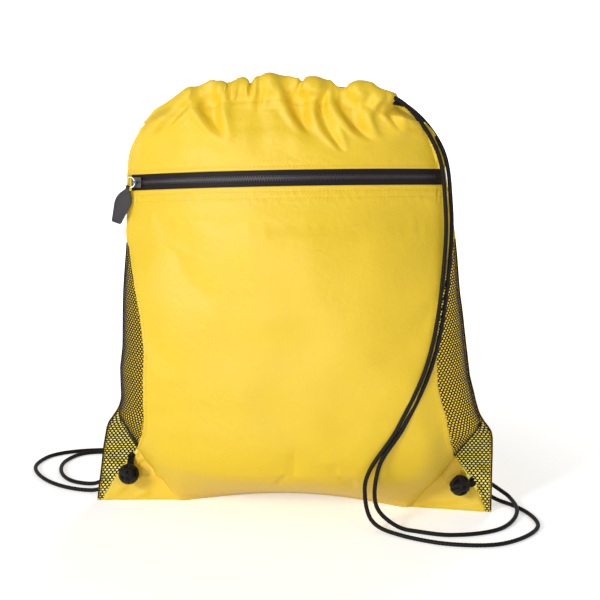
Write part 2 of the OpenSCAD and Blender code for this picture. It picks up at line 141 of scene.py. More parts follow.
def rolled(points, degrees):
    a = np.radians(degrees)
    dx, dz = points[..., 0] - zipper["middle"], points[..., 2] - zipper["height"]
    return np.stack([zipper["middle"] + dx * np.cos(a) - dz * np.sin(a), points[..., 1],
                     zipper["height"] + dx * np.sin(a) + dz * np.cos(a)], -1)


def zipPoint(angle, r, h):
    a = np.radians(angle)
    point = np.stack(np.broadcast_arrays(
        zipCentre[0] + r * np.sin(a),
        zipCentre[1] - r * np.cos(a) * math.cos(tilt) + h * math.sin(tilt),
        zipCentre[2] + r * np.cos(a) * math.sin(tilt) + h * math.cos(tilt)), -1)
    return rolled(point, zipper["roll"])


def keelShift(u, z):
    lift = bag["keel"] * (1 - ramp(z, 0, bag["keelHeight"])) * np.maximum(0, 1 - (u / bodyHalf(z)) ** 2)
    return lift - bag["toe"] * (1 - ramp(z, 0, bag["toeHeight"])) * (u / 188) ** 2


def skin(face, u, z, inset=0.0):
    belly = (bag["bellyFront"] if face < 0 else bag["bellyBack"]) * eased(z, bag["fullness"]) - inset
    half = bodyHalf(z) - inset
    depth = belly * np.maximum(0, 1 - (np.abs(u) / half) ** bag["roundness"]) ** (1 / bag["roundness"])
    if face < 0:
        depth = zipZone(z) * (zipDepth(u, z) - inset) + (1 - zipZone(z)) * depth
    y = keelShift(u, z) + face * np.maximum(bag["layerGap"] + bag["cloth"], depth)
    x = along(z, bag["leanLine"]) + u
    return rolled(np.stack([x, y, z + 0 * u], -1), zipper["roll"] * zipZone(z))


def ripples(u, z, seed, size, waves=9):     # smooth random cloth waves, about 1 high
    rng = np.random.default_rng(seed)
    total = 0
    for angle, phase, stretch in zip(rng.uniform(0, math.pi, waves), rng.uniform(0, 2 * math.pi, waves),
                                     rng.uniform(0.7, 1.5, waves)):
        across = u * math.cos(angle) + z * math.sin(angle)
        total = total + np.sin(across * 2 * math.pi * stretch / size + phase)
    return total / math.sqrt(waves)


def crownSink(u):
    return bag["crownDrop"] * (u / 100) ** 2


def outwards(points):       # unit normals of a grid of points
    return unit(np.cross(np.gradient(points, axis=1), np.gradient(points, axis=0)))


def edgeLast(grid, side):       # turns a grid so that one of its edges is its last row
    grid = grid.transpose(1, 0, 2) if side in ("left", "right") else grid
    return grid[::-1] if side in ("left", "bottom") else grid


def turnedIn(points, side, depth=0.9, width=5.0):   # folds an edge of a grid under, as a hem
    rows = edgeLast(points, side)
    normal = edgeLast(outwards(points), side)[-1]
    inward = unit(rows[-3] - rows[-1])
    edge = rows[-1]
    hem = [edge - inward * 0.3 - normal * depth * 0.5, edge + inward * 0.2 - normal * depth,
           edge + inward * width - normal * depth]
    grid = np.concatenate([rows, hem])
    grid = grid[::-1] if side in ("left", "bottom") else grid
    return grid.transpose(1, 0, 2) if side in ("left", "right") else grid


def choose(piece, *others):     # selects pieces, the first as the active one
    bpy.ops.object.select_all(action="DESELECT")
    for each in (piece, *others):
        each.select_set(True)
    bpy.context.view_layer.objects.active = piece


def clothUv(points):
    across = runAlong(points.transpose(1, 0, 2)).T
    across = across - across[:, across.shape[1] // 2, None]
    up = runAlong(points[:, points.shape[1] // 2])[:, None] + 0 * across
    return np.stack([across, up], -1) * mm


def setUv(piece, uv):
    layer = piece.data.uv_layers.active or piece.data.uv_layers.new(name="UVMap")
    corner = np.empty(len(piece.data.loops), int)
    piece.data.loops.foreach_get("vertex_index", corner)
    layer.data.foreach_set("uv", uv.reshape(-1, 2)[corner].ravel())


def meshPiece(name, points, faces, uv=None):        # uv also makes the faces smooth
    mesh = bpy.data.meshes.new(name)
    mesh.from_pydata(points.reshape(-1, 3).tolist(), [], faces)
    piece = bpy.data.objects.new(name, mesh)
    bpy.context.scene.collection.objects.link(piece)
    if uv is not None:
        setUv(piece, uv)
        mesh.polygons.foreach_set("use_smooth", np.ones(len(mesh.polygons), bool))
    return piece


def clothGrid(name, points):        # a grid primitive laid on rows and columns of points in millimetres
    rows, columns = points.shape[0] - 1, points.shape[1] - 1
    bpy.ops.mesh.primitive_grid_add(x_subdivisions=columns, y_subdivisions=rows, size=1)
    piece = bpy.context.object
    piece.name = name
    piece.data.name = name
    piece.data.vertices.foreach_set("co", (points * mm).ravel())
    setUv(piece, clothUv(points))
    bpy.ops.object.shade_smooth()
    return piece


def applied(piece, kind, **values):
    choose(piece)
    modifier = piece.modifiers.new(kind.lower(), kind)
    for key, value in values.items():
        setattr(modifier, key, value)
    bpy.ops.object.modifier_apply(modifier=modifier.name)


def thicken(piece, thickness):
    applied(piece, "SOLIDIFY", thickness=thickness * mm, offset=-1)


def thickenCloth(piece):        # the yellow cloth, with its glowing inner face as the second material: painted light for the light that comes through the cloth
    piece.data.materials.append(yellowCloth)
    piece.data.materials.append(glowingInnerCloth)
    applied(piece, "SOLIDIFY", thickness=bag["cloth"] * mm, offset=-1, material_offset=1)


def finishPiece(piece, material, body, slotName, *nodes):
    if not piece.data.materials:
        piece.data.materials.append(material)
    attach(piece, body)
    if nodes:
        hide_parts(*nodes)
    return piece


# Lets a grid of cloth swell and slacken a little under cloth simulation, with its borders held
cloth = {"stride": 3, "pressure": 3.0, "growth": 0.005, "mass": 0.2, "bending": 3.0,
         "frames": 20, "cap": 3.5}


def settled(points, held):
    rows, columns = (np.unique(np.append(np.arange(0, count, cloth["stride"]), count - 1))
                     for count in points.shape[:2])
    coarse = points[np.ix_(rows, columns)]
    piece = clothGrid("settling", coarse)
    group = piece.vertex_groups.new(name="held")
    for index, weight in enumerate(held[np.ix_(rows, columns)].ravel()):
        if weight > 0.01:
            group.add([index], float(weight), "REPLACE")
    modifier = piece.modifiers.new("cloth", "CLOTH")
    modifier.settings.vertex_group_mass = "held"
    modifier.settings.use_pressure = True
    modifier.settings.uniform_pressure_force = cloth["pressure"]
    modifier.settings.shrink_min = -cloth["growth"]
    modifier.settings.effector_weights.gravity = 0
    modifier.settings.mass = cloth["mass"]
    modifier.settings.bending_stiffness = cloth["bending"]
    modifier.collision_settings.use_collision = False
    modifier.point_cache.frame_end = cloth["frames"]
    for number in range(1, cloth["frames"] + 1):
        bpy.context.scene.frame_set(number)
    moved = np.empty(coarse.size)
    worn = piece.evaluated_get(bpy.context.evaluated_depsgraph_get())
    worn.data.vertices.foreach_get("co", moved)
    bpy.data.objects.remove(piece)
    bpy.context.scene.frame_set(1)
    shift = moved.reshape(coarse.shape) / mm - coarse
    far = np.linalg.norm(shift, axis=-1, keepdims=True)
    shift = shift * np.minimum(1, cloth["cap"] / np.maximum(far, 1e-6))
    shift = np.stack([[np.interp(np.arange(points.shape[1]), columns, line[:, k]) for line in shift]
                      for k in range(3)], -1)
    low = np.clip(np.searchsorted(rows, np.arange(points.shape[0]), "right") - 1, 0, len(rows) - 2)
    part = ((np.arange(points.shape[0]) - rows[low]) / (rows[low + 1] - rows[low]))[:, None, None]
    print("cloth settled, largest move", round(float(far.max()), 1), "mm")
    return points + (shift[low] * (1 - part) + shift[low + 1] * part) * (1 - held)[..., None]


def linear(*colour):        # a screen colour from 0 to 255 as linear light
    return [((c / 255 + 0.055) / 1.055) ** 2.4 if c > 10 else c / 255 / 12.92 for c in colour] + [1]


def node(tree, kind, links=None, **values):
    made = tree.nodes.new(kind)
    for key, value in values.items():
        if hasattr(made, key) and key not in made.inputs:
            setattr(made, key, value)
        else:
            made.inputs[key].default_value = value
    for key, source in (links or {}).items():
        tree.links.new(source, made.inputs[key])
    return made


def newMaterial(name, **shader):
    material = bpy.data.materials.new(name)
    material.use_nodes = True
    tree = material.node_tree
    principled = tree.nodes["Principled BSDF"]
    for key, value in shader.items():
        principled.inputs[key].default_value = value
    return material, tree, principled


def newGroup(name, inputs, outputs):
    group = bpy.data.node_groups.new(name, "ShaderNodeTree")
    for label, kind, value in inputs:
        socket = group.interface.new_socket(name=label, in_out="INPUT", socket_type=kind)
        socket.default_value = value
    for label, kind in outputs:
        group.interface.new_socket(name=label, in_out="OUTPUT", socket_type=kind)
    return group, group.nodes.new("NodeGroupInput"), group.nodes.new("NodeGroupOutput")


def maths(tree, operation, a, b=None):
    made = tree.nodes.new("ShaderNodeMath")
    made.operation = operation
    for place, value in enumerate((a, b)):
        if value is None:
            continue
        if isinstance(value, (int, float)):
            made.inputs[place].default_value = value
        else:
            tree.links.new(value, made.inputs[place])
    return made.outputs[0]


# Colour, bump and roughness that follow one pattern; height is a second pattern for the bump
def patterned(made, pattern, dark, light, bump, rough, height=None):
    material, tree, principled = made
    tone = node(tree, "ShaderNodeValToRGB", {0: pattern})
    tone.color_ramp.elements[0].color = dark
    tone.color_ramp.elements[1].color = light
    bumped = node(tree, "ShaderNodeBump", {"Height": height or pattern}, Distance=bump[0], Strength=bump[1])
    shine = maths(tree, "ADD", maths(tree, "MULTIPLY", pattern, rough[1] - rough[0]), rough[0])
    tree.links.new(tone.outputs[0], principled.inputs["Base Color"])
    tree.links.new(bumped.outputs[0], principled.inputs["Normal"])
    tree.links.new(shine, principled.inputs["Roughness"])
    return material


# Plain weave: over and under threads across a UV in metres, and a slow mottle of the dye
def makeWeave():
    group, given, made = newGroup("weave", [
        ("Vector", "NodeSocketVector", (0, 0, 0)), ("Threads", "NodeSocketFloat", 2000.0),
        ("Mottle", "NodeSocketFloat", 0.5), ("Tint", "NodeSocketColor", (1, 1, 1, 1)),
        ("Deep", "NodeSocketColor", (0.5, 0.5, 0.5, 1))],
        [("Color", "NodeSocketColor"), ("Height", "NodeSocketFloat"), ("Crinkle", "NodeSocketFloat"),
         ("Roughness", "NodeSocketFloat")])
    place = given.outputs["Vector"]
    scaled = node(group, "ShaderNodeVectorMath", {0: place, "Scale": given.outputs["Threads"]},
                  operation="SCALE")
    parts = node(group, "ShaderNodeSeparateXYZ", {0: scaled.outputs[0]})
    warp = maths(group, "SINE", maths(group, "MULTIPLY", parts.outputs[0], math.pi))
    weft = maths(group, "SINE", maths(group, "MULTIPLY", parts.outputs[1], math.pi))
    crossing = maths(group, "MULTIPLY", warp, weft)
    thread = maths(group, "ADD", maths(group, "MULTIPLY", maths(group, "ABSOLUTE", crossing), 0.5),
                   maths(group, "MULTIPLY", crossing, 0.35))
    slow = node(group, "ShaderNodeTexNoise", {"Vector": place}, Scale=38.0, Detail=3.0)
    fine = node(group, "ShaderNodeTexNoise", {"Vector": place}, Scale=420.0, Detail=2.0)
    crinkle = node(group, "ShaderNodeTexNoise", {"Vector": place}, Scale=95.0, Detail=4.0,
                   Roughness=0.62, Distortion=0.4)
    mixed = maths(group, "ADD", maths(group, "MULTIPLY", slow.outputs[0], 0.7),
                  maths(group, "MULTIPLY", fine.outputs[0], 0.3))
    share = maths(group, "MULTIPLY", maths(group, "SUBTRACT", mixed, 0.5), given.outputs["Mottle"])
    shade = maths(group, "ADD", maths(group, "ADD", share, 0.82), maths(group, "MULTIPLY", thread, 0.16))
    mix = group.nodes.new("ShaderNodeMix")
    mix.data_type = "RGBA"
    group.links.new(shade, mix.inputs[0])
    group.links.new(given.outputs["Deep"], mix.inputs[6])
    group.links.new(given.outputs["Tint"], mix.inputs[7])
    group.links.new(mix.outputs[2], made.inputs["Color"])
    group.links.new(thread, made.inputs["Height"])
    group.links.new(crinkle.outputs[0], made.inputs["Crinkle"])
    group.links.new(maths(group, "ADD", maths(group, "MULTIPLY", slow.outputs[0], 0.16), 0.4),
                    made.inputs["Roughness"])
    return group


weaveGroup = makeWeave()


def wovenCloth(name, tint, deep, threads, mottle, threadHeight, crinkleHeight, **shader):
    material, tree, principled = newMaterial(name, **shader)
    place = node(tree, "ShaderNodeTexCoord")
    weave = tree.nodes.new("ShaderNodeGroup")
    weave.node_tree = weaveGroup
    tree.links.new(place.outputs["UV"], weave.inputs["Vector"])
    weave.inputs["Threads"].default_value = threads
    weave.inputs["Mottle"].default_value = mottle
    weave.inputs["Tint"].default_value = tint
    weave.inputs["Deep"].default_value = deep
    fineBump = node(tree, "ShaderNodeBump", {"Height": weave.outputs["Height"]}, Distance=threadHeight,
                    Strength=0.5)
    bump = node(tree, "ShaderNodeBump", {"Height": weave.outputs["Crinkle"], "Normal": fineBump.outputs[0]},
                Distance=crinkleHeight, Strength=0.5)
    tree.links.new(weave.outputs["Color"], principled.inputs["Base Color"])
    tree.links.new(weave.outputs["Roughness"], principled.inputs["Roughness"])
    tree.links.new(bump.outputs[0], principled.inputs["Normal"])
    return material


yellowCloth = wovenCloth("yellowPolyester", linear(243, 206, 40), linear(222, 178, 16), 2200.0, 0.5,
                         0.00006, 0.0012, **{"Sheen Weight": 0.05, "Sheen Roughness": 0.4,
                                             "Specular IOR Level": 0.6})
# Inner face of the yellow cloth: paler, and it glows as painted light, standing in for the light that comes
# through the thin cloth and fills the bag behind the net
glowingInnerCloth = wovenCloth("yellowInsideGlow", linear(240, 224, 120), linear(226, 200, 80), 2200.0, 0.5,
                        0.00006, 0.0012, **{"Emission Color": linear(240, 226, 96),
                                            "Emission Strength": 0.42, "Specular IOR Level": 0.3})
liningCloth = wovenCloth("paleLining", linear(236, 206, 104), linear(196, 160, 60), 1800.0, 0.5,
                         0.00006, 0.0012, **{"Sheen Weight": 0.1})
tapeCloth = wovenCloth("zipperTape", linear(36, 29, 34), linear(12, 10, 12), 1100.0, 0.8, 0.0001, 0.0003,
                       **{"Sheen Weight": 0.03, "Specular IOR Level": 0.12})
threadCloth = wovenCloth("stitchThread", linear(236, 192, 40), linear(206, 158, 16), 3000.0, 0.4,
                         0.00004, 0.0001, **{"Specular IOR Level": 0.5})


def makeNetMaterial():
    made = newMaterial("netThread", **{"Sheen Weight": 0.02, "Specular IOR Level": 0.1})
    place = node(made[1], "ShaderNodeTexCoord")
    grain = node(made[1], "ShaderNodeTexNoise", {"Vector": place.outputs["Object"]}, Scale=900.0, Detail=2.0)
    return patterned(made, grain.outputs[0], linear(12, 9, 6), linear(44, 34, 22), (0.0002, 0.6),
                     (0.45, 0.65))


def makeBraidMaterial():        # two sets of strands crossing along and round the cord
    made = newMaterial("braidedCord", **{"Sheen Weight": 0.03, "Specular IOR Level": 0.15})
    tree, strands = made[1], 24
    place = node(tree, "ShaderNodeTexCoord")
    parts = node(tree, "ShaderNodeSeparateXYZ", {0: place.outputs["UV"]})
    waves = []
    for way in ("ADD", "SUBTRACT"):
        slant = maths(tree, way, parts.outputs[0], parts.outputs[1])
        waves.append(maths(tree, "SINE", maths(tree, "MULTIPLY", slant, 2 * math.pi * strands)))
    fibre = maths(tree, "ADD", maths(tree, "MULTIPLY", *waves), 1.0)
    grain = node(tree, "ShaderNodeTexNoise", {"Vector": place.outputs["Object"]}, Scale=1200.0)
    share = maths(tree, "ADD", maths(tree, "MULTIPLY", fibre, 0.25),
                  maths(tree, "MULTIPLY", grain.outputs[0], 0.5))
    return patterned(made, share, linear(8, 7, 7), linear(32, 27, 28), (0.00015, 0.7), (0.4, 0.6))


def makeMetal(name, colour, rough, scratch):
    made = newMaterial(name, Metallic=1.0)
    place = node(made[1], "ShaderNodeTexCoord")
    worn = node(made[1], "ShaderNodeTexNoise", {"Vector": place.outputs["Object"]}, Scale=700.0, Detail=4.0)
    dull = [c * 0.75 for c in colour[:3]] + [1]
    return patterned(made, worn.outputs[0], dull, colour, (scratch, 0.4), rough)


def makeMoulded(name, dark, light, grain, rough, specular):
    made = newMaterial(name, **{"Specular IOR Level": specular})
    place = node(made[1], "ShaderNodeTexCoord").outputs["Object"]
    pits = node(made[1], "ShaderNodeTexVoronoi", {"Vector": place}, Scale=grain)
    cloud = node(made[1], "ShaderNodeTexNoise", {"Vector": place}, Scale=160.0, Detail=3.0)
    return patterned(made, cloud.outputs[0], dark, light, (0.0002, 0.5), rough, pits.outputs[0])


netThread = makeNetMaterial()
braid = makeBraidMaterial()
sliderMetal = makeMetal("darkMetal", linear(120, 118, 120), (0.25, 0.5), 0.0001)
ringMetal = makeMetal("brightMetal", linear(226, 227, 230), (0.12, 0.3), 0.00005)
pullRubber = makeMoulded("pullRubber", linear(16, 13, 15), linear(42, 36, 43), 1300.0, (0.3, 0.55), 0.4)
coilNylon = makeMoulded("coilNylon", linear(22, 17, 18), linear(60, 48, 50), 2600.0, (0.22, 0.47), 0.6)
print("materials made")

# Routes in metres: slit, strap, one tunnel, round its end, the other tunnel, strap, slit
cords = {
    "right": [(0.171, -0.005, 0.025), (0.172, 0.003, 0.024), (0.19, 0.016, 0.004),
              (0.217, -0.008, 0.0021), (0.23, -0.048, 0.0021), (0.194, -0.096, 0.0021),
              (0.15, -0.1, 0.0021), (0.11, -0.086, 0.0021), (0.078, -0.068, 0.009), (0.071, -0.066, 0.04),
              (0.1, -0.063, 0.097), (0.123, -0.053, 0.147), (0.138, -0.03, 0.232), (0.139, -0.012, 0.292),
              (0.13, -0.007, 0.343), (0.118, -0.007, 0.364), (0.093, -0.012, 0.3895),
              (0.06, -0.012, 0.3954), (-0.06, -0.012, 0.3954), (-0.084, -0.012, 0.3912),
              (-0.098, -0.005, 0.388), (-0.098, 0.005, 0.385), (-0.084, 0.012, 0.3862),
              (-0.06, 0.012, 0.3904), (0.06, 0.012, 0.3904), (0.093, 0.012, 0.3845),
              (0.134, -0.001, 0.345), (0.144, -0.006, 0.292), (0.143, -0.025, 0.232),
              (0.128, -0.049, 0.147), (0.105, -0.061, 0.097), (0.083, -0.065, 0.058),
              (0.084, -0.065, 0.018), (0.106, -0.068, 0.0021), (0.15, -0.078, 0.0021),
              (0.196, -0.058, 0.0021), (0.212, -0.014, 0.004), (0.203, 0.02, 0.006),
              (0.171, 0.004, 0.029), (0.1685, -0.005, 0.029)],
    "left": [(-0.1575, -0.002, 0.039), (-0.159, 0.006, 0.038), (-0.192, 0.007, 0.003),
             (-0.212, 0.01, 0.0021), (-0.25, 0.035, 0.0021), (-0.268, 0.076, 0.0021),
             (-0.262, 0.1, 0.0021), (-0.192, 0.129, 0.0021), (-0.13, 0.11, 0.0021),
             (-0.108, 0.095, 0.005), (-0.099, 0.083, 0.018), (-0.098, 0.072, 0.045),
             (-0.098, 0.058, 0.13), (-0.098, 0.053, 0.23), (-0.098, 0.033, 0.35), (-0.099, 0.023, 0.371),
             (-0.091, 0.0126, 0.3795), (-0.06, 0.012, 0.386), (0.06, 0.012, 0.386),
             (0.084, 0.012, 0.3818), (0.098, 0.005, 0.3805), (0.098, -0.005, 0.3835),
             (0.084, -0.012, 0.3868), (0.06, -0.012, 0.391), (-0.06, -0.012, 0.391),
             (-0.088, -0.011, 0.385), (-0.109, 0.01, 0.378), (-0.107, 0.038, 0.325),
             (-0.105, 0.049, 0.255), (-0.105, 0.056, 0.17), (-0.105, 0.064, 0.075),
             (-0.106, 0.077, 0.035), (-0.112, 0.09, 0.01), (-0.155, 0.114, 0.0021),
             (-0.232, 0.11, 0.0021), (-0.241, 0.09, 0.0021), (-0.218, 0.03, 0.0021),
             (-0.2, 0.025, 0.0024), (-0.158, 0.006, 0.042), (-0.154, -0.002, 0.043)],
    "diameter": 0.004, "step": 0.0008, "sides": 14,
    "strands": 4, "braidPitch": 0.0034, "relief": 0.00022, "easing": 9, "girth": 0.0126, "uvScale": 30,
}


def smoothLine(points, step):       # a smooth curve through the points, at even steps
    p = np.array(points, float)
    gap = np.linalg.norm(np.diff(p, axis=0), axis=1)[:, None]
    slope = np.diff(p, axis=0) / gap
    heading = np.empty_like(p)
    heading[0], heading[-1] = slope[0], slope[-1]
    heading[1:-1] = (slope[:-1] * gap[1:] + slope[1:] * gap[:-1]) / (gap[1:] + gap[:-1])
    t = np.linspace(0, 1, 40, endpoint=False)[:, None]
    line = [((2 * t ** 3 - 3 * t ** 2 + 1) * p[i] + (t ** 3 - 2 * t ** 2 + t) * gap[i] * heading[i]
             + (3 * t ** 2 - 2 * t ** 3) * p[i + 1] + (t ** 3 - t ** 2) * gap[i] * heading[i + 1])
            for i in range(len(p) - 1)]
    line = np.concatenate(line + [p[-1:]])
    run = runAlong(line)
    even = np.linspace(0, run[-1], max(3, int(run[-1] / step)))
    return np.stack([np.interp(even, run, line[:, k]) for k in range(3)], 1), run[-1]


def ringFrames(line):       # two directions square to the line at each point, carried without twist
    heading = unit(np.gradient(line, axis=0))
    side = np.cross(heading[0], (0.0, 0.3, 1.0))
    first = []
    for h in heading:
        side = unit(side - h * np.dot(side, h))
        first.append(side)
    first = np.array(first)
    return first, np.cross(heading, first)


def sweptTube(name, line, radius, sides, relief=None):
    first, second = ringFrames(line)
    angle = np.linspace(0, 2 * math.pi, sides, endpoint=False)
    run = runAlong(line)
    r = radius + (relief(run[:, None], angle[None, :]) if relief else 0) + np.zeros((len(line), sides))
    ring = (first[:, None, :] * np.cos(angle)[None, :, None]
            + second[:, None, :] * np.sin(angle)[None, :, None])
    points = line[:, None, :] + ring * r[..., None]
    i, k = np.meshgrid(np.arange(len(line) - 1), np.arange(sides), indexing="ij")
    a, b = i * sides + k, i * sides + (k + 1) % sides
    quads = np.stack([a, b, b + sides, a + sides], -1).reshape(-1, 4).tolist()
    caps = [list(range(sides))[::-1], list(range((len(line) - 1) * sides, len(line) * sides))]
    around = angle[None, :] / (2 * math.pi) * cords["girth"]
    uv = np.stack(np.broadcast_arrays(around, run[:, None]), -1) * cords["uvScale"]
    return meshPiece(name, points, quads + caps, uv)


def braidRelief(run, angle):
    turn = angle * cords["strands"] / (2 * math.pi)
    a, b = turn + run / cords["braidPitch"], turn - run / cords["braidPitch"]
    one = np.abs(np.sin(math.pi * a)) * (0.75 + 0.25 * np.sin(2 * math.pi * b))
    two = np.abs(np.sin(math.pi * b)) * (0.75 - 0.25 * np.sin(2 * math.pi * a))
    return cords["relief"] * (np.maximum(one, two) - 0.75)


def makeCord(side):
    line, length = smoothLine(cords[side], cords["step"])
    high = np.pad(np.maximum(line[:, 2], cords["diameter"] / 2), cords["easing"], mode="edge")
    window = 2 * cords["easing"] + 1
    line[:, 2] = np.convolve(high, np.full(window, 1 / window), "valid")
    piece = sweptTube("drawcord" + side.capitalize(), line, cords["diameter"] / 2, cords["sides"],
                      braidRelief)
    finishPiece(piece, braid, "bag", "cord", "drawcord_" + side)
    print("drawcord", side, round(float(length), 3), "m")
    return piece


for side in ("left", "right"):
    makeCord(side)

# The turns of a knot: tilt and spin of each circle's axis in degrees, and its distance off the middle
knots = {"left": {"ball": (-156, -17, 29), "slit": (-156, -2, 41)},
         "right": {"ball": (158, -18, 28), "slit": (170, -5, 27)},
         "radius": 10, "strand": 2.3, "core": 6.6, "necks": (-1.2, 1.2), "neckStrand": 1.9, "sides": 12,
         "turns": [(12, 0, -2.6), (8, 0, 2.3), (66, 25, -1.6), (62, 205, -3.0), (86, 115, 0.6),
                   (90, 0, 6.4)]}


def makeKnot(side):
    given = knots[side]
    ball, slit = np.array(given["ball"], float), np.array(given["slit"], float)
    toSlit = unit(slit - ball)
    acrossKnot = unit(np.cross(toSlit, (0, -1, 0.2)))
    outKnot = np.cross(acrossKnot, toSlit)
    turnRadius = knots["radius"] - knots["strand"]
    bpy.ops.mesh.primitive_uv_sphere_add(segments=32, ring_count=20, radius=knots["core"] * mm,
                                         location=ball * mm)
    bpy.ops.object.transform_apply(location=True)
    pieces = [bpy.context.object]
    t = np.linspace(0, 2 * math.pi, 90)
    for tilted, spin, offset in knots["turns"]:
        lean, turn = math.radians(tilted), math.radians(spin)
        axis = (math.cos(lean) * acrossKnot
                + math.sin(lean) * (math.cos(turn) * toSlit + math.sin(turn) * outKnot))
        first = unit(np.cross(axis, outKnot + 0.3 * toSlit))
        second = np.cross(axis, first)
        wide = math.sqrt(turnRadius ** 2 - offset ** 2)
        line = ball + axis * offset + wide * (np.cos(t)[:, None] * first + np.sin(t)[:, None] * second)
        pieces.append(sweptTube("knotTurn", line * mm, knots["strand"] * mm, knots["sides"], braidRelief))
    for offset in knots["necks"]:
        beside = acrossKnot * offset
        route = [slit + (0, 4, -1) + beside * 0.6, slit + (0, -1.5, -1) + beside,
                 ball + toSlit * 8 + beside, ball]
        line, _ = smoothLine(route, 0.9)
        pieces.append(sweptTube("knotNeck", line * mm, knots["neckStrand"] * mm, knots["sides"],
                                braidRelief))
    choose(pieces[1], *pieces)
    bpy.ops.object.join()
    knot = bpy.context.object
    knot.name = "knot" + side.capitalize()
    finishPiece(knot, braid, "bag", "cord", "knot_" + side)


for side in ("left", "right"):
    makeKnot(side)
print("cords and knots made")

panel = {"columns": 230, "crease": 0.78, "puckerPitch": 3.6, "puckerHeight": 0.35, "stitchRows": (4.5, 10.5),
         "edgeRoll": 0.5, "deepest": 10.0, "gathered": (364, 386), "tunnelReach": 5.1, "tunnelLift": 4.7,
         "zipCalm": (285, 305), "tapeGap": 0.25}
# Gathers: where each valley starts at the crown and ends below, its depth and its half width, in millimetres
frontFolds = [((-74, 396), (-52, 357), 12.0, 9.0), ((-53.5, 404), (-53, 384), 7.5, 2.6),
              ((-82, 397), (-113, 366), 5.0, 9.0), ((-37, 405), (-33, 386), 6.5, 2.8),
              ((-28, 398), (-22, 374), 3.0, 5.0), ((8, 404), (4, 386), 8.5, 2.8),
              ((4, 393), (27, 358), 11.0, 9.0), ((28, 398), (36, 374), 2.5, 5.0),
              ((46, 403), (50, 384), 9.0, 3.0), ((50, 392), (82, 352), 12.0, 10.0),
              ((45, 362), (57, 342), 4.0, 5.0), ((82, 394), (76, 374), -4.0, 6.0),
              ((92, 392), (108, 366), 4.0, 6.0)]
backFolds = [((-80, 400), (-78, 368), 5.0, 6.0), ((-56, 402), (-50, 352), 7.5, 7.0),
             ((-32, 402), (-34, 380), 4.5, 3.2), ((-8, 402), (-3, 356), 6.5, 6.5),
             ((20, 402), (22, 376), 5.0, 3.5), ((42, 402), (50, 350), 7.5, 8.0),
             ((70, 400), (76, 372), 5.0, 4.5), ((90, 398), (98, 366), 3.0, 5.0)]


def gathers(u, z, folds):       # how far the cloth is drawn in by the folds under the crown
    total = 0.0
    for (u0, z0), (u1, z1), depth, width in folds:
        t = np.clip((z0 - z) / (z0 - z1), -1.0, 1.0)
        middle = u0 + (u1 - u0) * t
        wide = width * (1.15 - 0.6 * np.clip(t, 0, 1))
        fade = 1 - ramp((z0 - z) / (z0 - z1), 0.35, 1.05)
        away = np.sqrt(((u - middle) / wide) ** 2 + 0.006)
        valley = np.log1p(np.exp(9 * (1 - away))) / 9
        total = total + depth * fade * (0.3 * np.exp(-(away - 1.6) ** 2 * 3) - valley)
    low, high = panel["gathered"]
    reach = panel["deepest"] - (panel["deepest"] - panel["tunnelReach"]) * ramp(z, low, high)
    return reach * np.tanh(total / reach) + panel["tunnelLift"] * ramp(z, low, high)


stitch = {"pitch": 3.5, "length": 2.5, "radius": 0.26, "proud": 0.12, "sides": 6, "seamIn": 3.2}
stitchLines = []


# Notes a line of stitching at a distance from a grid's edge
def lineAt(points, away, edge, first=0, last=None):
    grid = edgeLast(points, edge)[::-1]
    run = runAlong(grid)
    columns = range(grid.shape[1])[first:last]
    place, up = (np.array([[np.interp(away, run[:, j], values[:, j, k]) for k in range(3)] for j in columns])
                 for values in (grid, edgeLast(outwards(points), edge)[::-1]))
    stitchLines.append((place + up * stitch["proud"], up))


def makeStitches():     # every stitch is a short thread, arched a little and sunk at both its ends
    places, faces, sides = [], [], stitch["sides"]
    angle = np.linspace(0, 2 * math.pi, sides, endpoint=False)
    for line, up in stitchLines:
        run = runAlong(line)
        for start in np.arange(stitch["pitch"], run[-1] - stitch["pitch"], stitch["pitch"]):
            at = start + np.array([0, 0.2, 0.5, 0.8, 1]) * stitch["length"]
            middle = np.stack([np.interp(at, run, line[:, k]) for k in range(3)], 1)
            rise = np.array([np.interp(start, run, up[:, k]) for k in range(3)])
            side = np.cross(unit(middle[-1] - middle[0]), rise)
            middle = middle + rise * np.array([-0.35, 0, 0.1, 0, -0.35])[:, None]
            thick = np.array([0.4, 0.9, 1, 0.9, 0.4])[:, None, None] * stitch["radius"]
            ring = np.cos(angle)[None, :, None] * side + np.sin(angle)[None, :, None] * rise
            base = len(places) * 5 * sides
            places.append(middle[:, None] + ring * thick)
            for i in range(4):
                for k in range(sides):
                    a, b = base + i * sides + k, base + i * sides + (k + 1) % sides
                    faces.append([a, a + sides, b + sides, b])
            faces.append([base + k for k in range(sides)])
            faces.append([base + 4 * sides + k for k in range(sides)][::-1])
    points = np.array(places) * mm
    piece = meshPiece("stitching", points, faces, points[..., [0, 2]])
    print(len(places), "stitches")
    return finishPiece(piece, threadCloth, "bag", "yellow_polyester")


def panelHalf(face, side, z):
    sewn = seamHalf(z) - 0.3 - slitAt(side, z)
    toEdge = 1.0 if face > 0 else ramp(z, bag["sideTop"] - 4, bag["sideTop"] + 6)
    return sewn + (outerHalf(z) - sewn) * toEdge


def panelAcross(z, face):     # distance from the middle at each column, more columns at the crease
    c = np.linspace(-1, 1, panel["columns"] + 1) * (1 if face < 0 else -1)
    z = np.broadcast_to(np.asarray(z, float), (len(z), len(c)))
    half = np.where(c < 0, panelHalf(face, -1, z), panelHalf(face, 1, z))
    crease = np.minimum(bodyHalf(z), half * np.where((z > bag["sideTop"]) | (face > 0), 0.93, 0.86))
    share = panel["crease"]
    inner = np.abs(c) / share * crease
    outer = crease + (np.abs(c) - share) / (1 - share) * (half - crease)
    return np.sign(c) * np.where(np.abs(c) < share, inner, outer), half


